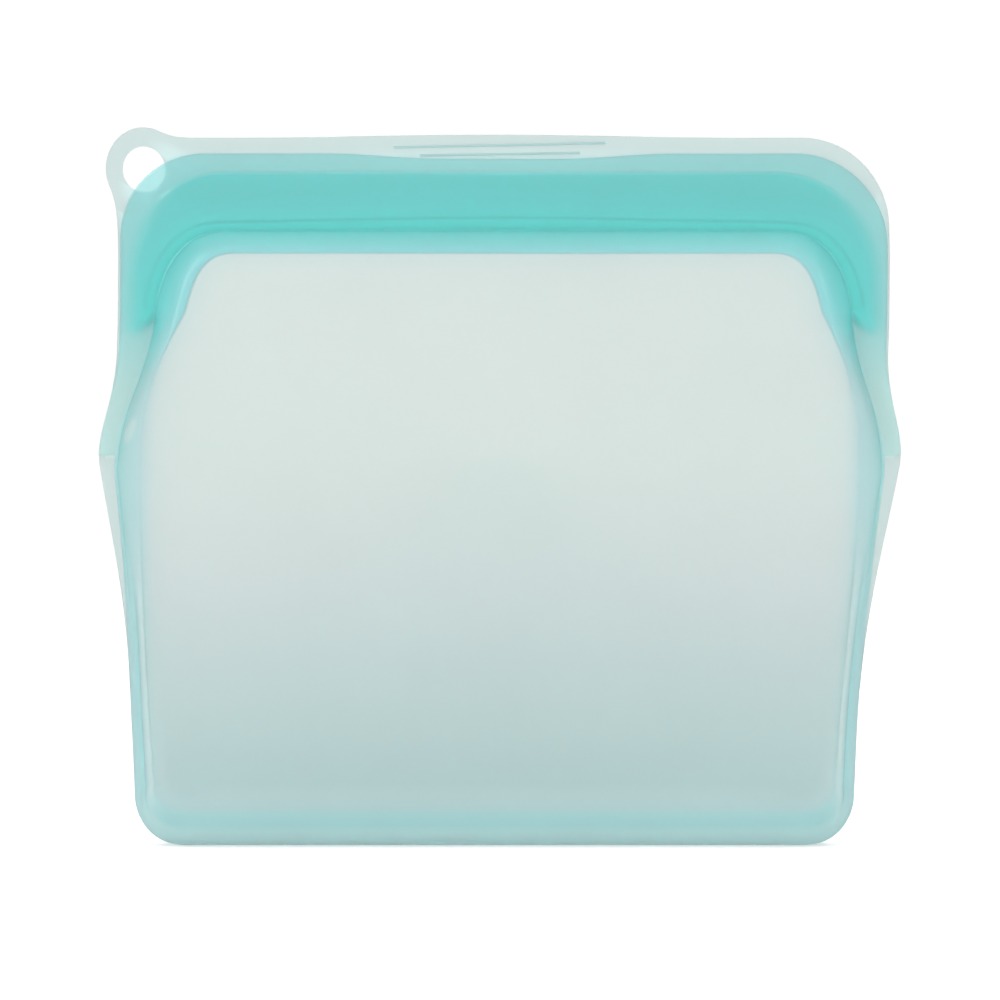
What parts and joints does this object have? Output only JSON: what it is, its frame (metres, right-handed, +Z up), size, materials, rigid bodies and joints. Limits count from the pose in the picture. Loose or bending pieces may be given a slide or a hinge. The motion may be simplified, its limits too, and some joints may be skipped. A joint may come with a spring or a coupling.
{
  "type": "reusable silicone bag",
  "caption": "Flat stand-up pouch of translucent teal silicone with a press-together rib seal across its mouth, folded side gussets, a finger dip, grip ridges and a hang tab",
  "frame": {"origin": "middle of the base that the bag stands on, half way between its front and back faces", "axes": "+X to the right seen from the front, +Y from the front shell to the back shell, +Z up to the mouth"},
  "size_m": [0.2606, 0.0274, 0.2327],
  "materials": {
    "pouch_wall": "frosted translucent silicone, pale teal, matt with a soft sheen",
    "gusset": "frosted translucent silicone, teal where its folds double up",
    "lip_sheet": "frosted translucent silicone sheet, pale grey-green teal",
    "seal": "thick translucent silicone, saturated teal, smooth",
    "grip_ridge": "fine raised line of the same silicone as the lip"
  },
  "bodies": {
    "pouch": {"front_wall": "pouch_wall", "front_base": "gusset", "front_left_gusset": "gusset", "front_right_gusset": "gusset", "left_side_weld": "lip_sheet", "right_side_weld": "lip_sheet", "back_throat": "pouch_wall", "back_lip": "lip_sheet", "seal_channel": "seal", "back_base": "gusset", "back_left_gusset": "gusset", "back_right_gusset": "gusset", "left_flange": "lip_sheet", "right_flange": "lip_sheet", "hang_tab": "lip_sheet", "upper_grip_ridge": "grip_ridge", "lower_grip_ridge": "grip_ridge"},
    "front_mouth": {"front_throat": "pouch_wall", "front_lip": "lip_sheet", "seal_rib": "seal"},
    "back_panel": {"back_wall": "pouch_wall"}
  },
  "joints": [
    {"name": "mouth_open", "type": "hinge", "parent": "pouch", "child": "front_mouth", "pos_m": [0, -0.007, 0.162], "axis": [1, 0, 0], "range_deg": [0, 50], "stiffness_Nm_per_rad": 0.08},
    {"name": "wall_press", "type": "slide", "parent": "pouch", "child": "back_panel", "axis": [0, -1, 0], "range_m": [0, 0.012], "stiffness_N_per_m": 120}
  ]
}
